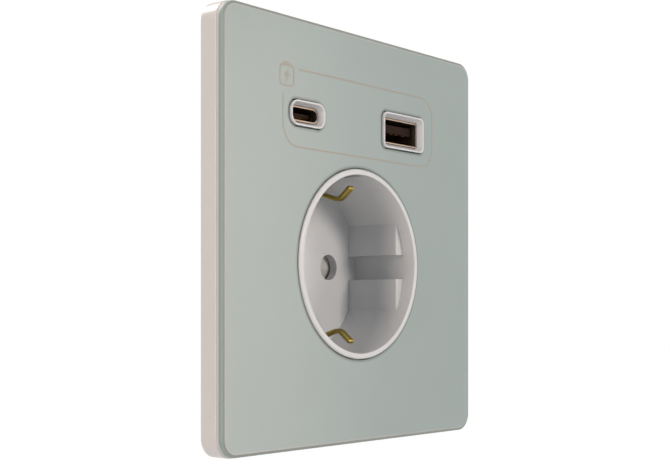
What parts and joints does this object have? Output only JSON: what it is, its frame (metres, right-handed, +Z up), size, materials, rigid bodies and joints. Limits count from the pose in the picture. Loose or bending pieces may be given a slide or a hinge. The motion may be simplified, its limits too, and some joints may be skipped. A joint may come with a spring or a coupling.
{
  "type": "usb wall socket",
  "caption": "Wall socket with a deep round recess for earthed round-pin plugs, sprung safety shutter, charging ports above it and a grey-green glass cover panel.",
  "frame": {"origin": "middle of the line between the two box-screw slots, on the wall plane at the back of the mounting strap", "axes": "+X to the right seen from the room, -Y out of the wall into the room, +Z up"},
  "size_m": [0.0872, 0.0376, 0.0904],
  "materials": {
    "white_plastic": "satin warm white",
    "painted_glass": "back-painted grey-green, polished edge",
    "zinc_steel": "zinc plated",
    "grey_plastic": "moulded light grey",
    "ivory_plastic": "moulded off-white",
    "spring_steel": "drawn wire",
    "brass": "rolled strip",
    "circuit_board": "green solder mask",
    "plated_shell": "nickel plated",
    "dark_plastic": "moulded black",
    "gold_plate": "gold plated",
    "ferrite": "ground dark grey",
    "winding_tape": "yellow polyester tape",
    "capacitor_can": "dark sleeve",
    "lead_insulation": "insulated wire"
  },
  "bodies": {
    "insert": {"mounting_strap": "zinc_steel", "front_moulding": "white_plastic", "rear_housing": "grey_plastic", "housing_screws": "zinc_steel", "contact_carrier": "ivory_plastic", "shutter_spring": "spring_steel", "earth_bracket": "brass", "line_contact": "brass", "neutral_contact": "brass", "line_terminal": "brass", "earth_terminal": "brass", "neutral_terminal": "brass", "terminal_screws": "zinc_steel", "usb_board": "circuit_board", "usb_a_shell": "plated_shell", "usb_a_tongue": "dark_plastic", "usb_a_contacts": "gold_plate", "usb_c_shell": "plated_shell", "usb_c_tongue": "dark_plastic", "usb_c_contacts": "gold_plate", "transformer_core": "ferrite", "transformer_winding": "winding_tape", "transformer_bobbin": "dark_plastic", "mains_capacitor": "capacitor_can", "output_capacitor": "capacitor_can", "controller_chip": "dark_plastic", "bridge_rectifier": "dark_plastic", "supply_leads": "lead_insulation"},
    "cover": {"panel_frame": "white_plastic", "glass_panel": "painted_glass"},
    "shutter_body": {"shutter": "ivory_plastic"}
  },
  "joints": [
    {"name": "cover_pull", "type": "slide", "parent": "insert", "child": "cover", "axis": [0, -1, 0], "range_m": [0, 0.012]},
    {"name": "shutter_turn", "type": "hinge", "parent": "insert", "child": "shutter_body", "pos_m": [0, 0.0148, -0.0056], "axis": [0, -1, 0], "range_deg": [0, 46], "stiffness_Nm_per_rad": 0.003, "springref_deg": -11.46, "deforming": ["shutter_spring"]}
  ]
}
